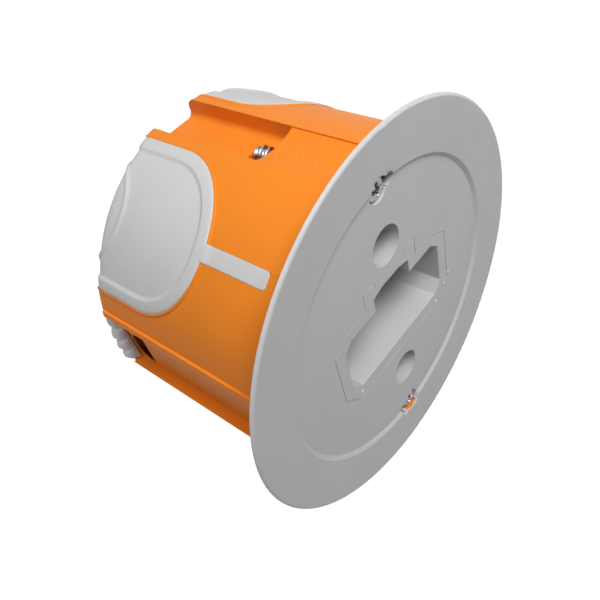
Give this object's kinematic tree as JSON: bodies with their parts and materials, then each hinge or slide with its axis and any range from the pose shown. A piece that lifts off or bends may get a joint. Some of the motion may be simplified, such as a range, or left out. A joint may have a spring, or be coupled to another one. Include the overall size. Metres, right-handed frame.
{
  "type": "flush mounting box",
  "caption": "Round hollow-wall flush box with soft cable-entry membranes, screw-driven claws and a round cover with a keyed luminaire outlet.",
  "frame": {"origin": "on the axis of the round box, in the plane where the cover's rim rests on the wall's face", "axes": "+Y runs along the axis into the wall, from the cover to the back of the box; +Z is the line of the two cover screws, towards the key of the socket opening; +X is the long direction of the socket opening"},
  "size_m": [0.082, 0.0508, 0.082],
  "materials": {
    "orange_plastic": "satin moulded orange",
    "soft_plastic": "matt light grey soft plastic",
    "cover_plastic": "fine satin light grey",
    "socket_plastic": "fine satin light grey",
    "cap_plastic": "plain light grey",
    "claw_plastic": "satin light grey",
    "brass": "plain stamped",
    "zinc_steel": "bright zinc plated"
  },
  "bodies": {
    "box": {"housing": "orange_plastic", "entry_membrane_upper_left": "soft_plastic", "entry_membrane_upper_right": "soft_plastic", "entry_membrane_lower_right": "soft_plastic", "entry_membrane_lower_left": "soft_plastic", "cover": "cover_plastic", "socket_body": "socket_plastic", "socket_cap": "cap_plastic", "contact_line": "brass", "contact_earth": "brass", "contact_neutral": "brass"},
    "claw_screw_left": {"claw_screw_left": "zinc_steel"},
    "claw_screw_right": {"claw_screw_right": "zinc_steel"},
    "claw_left": {"claw_left": "claw_plastic"},
    "claw_right": {"claw_right": "claw_plastic"},
    "cover_screw_top": {"cover_screw_top": "zinc_steel"},
    "cover_screw_bottom": {"cover_screw_bottom": "zinc_steel"},
    "terminal_screw_line": {"terminal_screw_line": "zinc_steel"},
    "terminal_screw_earth": {"terminal_screw_earth": "zinc_steel"},
    "terminal_screw_neutral": {"terminal_screw_neutral": "zinc_steel"}
  },
  "joints": [
    {"name": "claw_screw_left_turn", "type": "hinge", "parent": "box", "child": "claw_screw_left", "pos_m": [-0.0272, 0, 0.0057], "axis": [0, 1, 0], "range_deg": [0, 9510]},
    {"name": "claw_left_slide", "type": "slide", "parent": "box", "child": "claw_left", "axis": [0, -1, 0], "range_m": [0, 0.033]},
    {"name": "claw_screw_right_turn", "type": "hinge", "parent": "box", "child": "claw_screw_right", "pos_m": [0.0272, 0, -0.0057], "axis": [0, 1, 0], "range_deg": [0, 9510]},
    {"name": "claw_right_slide", "type": "slide", "parent": "box", "child": "claw_right", "axis": [0, -1, 0], "range_m": [0, 0.033]},
    {"name": "cover_screw_top_turn", "type": "hinge", "parent": "box", "child": "cover_screw_top", "pos_m": [0, 0, 0.03], "axis": [0, 1, 0], "continuous": true},
    {"name": "cover_screw_bottom_turn", "type": "hinge", "parent": "box", "child": "cover_screw_bottom", "pos_m": [0, 0, -0.03], "axis": [0, 1, 0], "continuous": true},
    {"name": "terminal_screw_line_turn", "type": "hinge", "parent": "box", "child": "terminal_screw_line", "pos_m": [-0.011, 0.029, -0.0008], "axis": [0, 1, 0], "continuous": true},
    {"name": "terminal_screw_earth_turn", "type": "hinge", "parent": "box", "child": "terminal_screw_earth", "pos_m": [0, 0.029, -0.0008], "axis": [0, 1, 0], "continuous": true},
    {"name": "terminal_screw_neutral_turn", "type": "hinge", "parent": "box", "child": "terminal_screw_neutral", "pos_m": [0.011, 0.029, -0.0008], "axis": [0, 1, 0], "continuous": true}
  ],
  "couplings": [
    {"joint": "claw_screw_left_turn", "follows": "claw_left_slide", "rad_per_m": 5026.6},
    {"joint": "claw_screw_right_turn", "follows": "claw_right_slide", "rad_per_m": 5026.6}
  ]
}
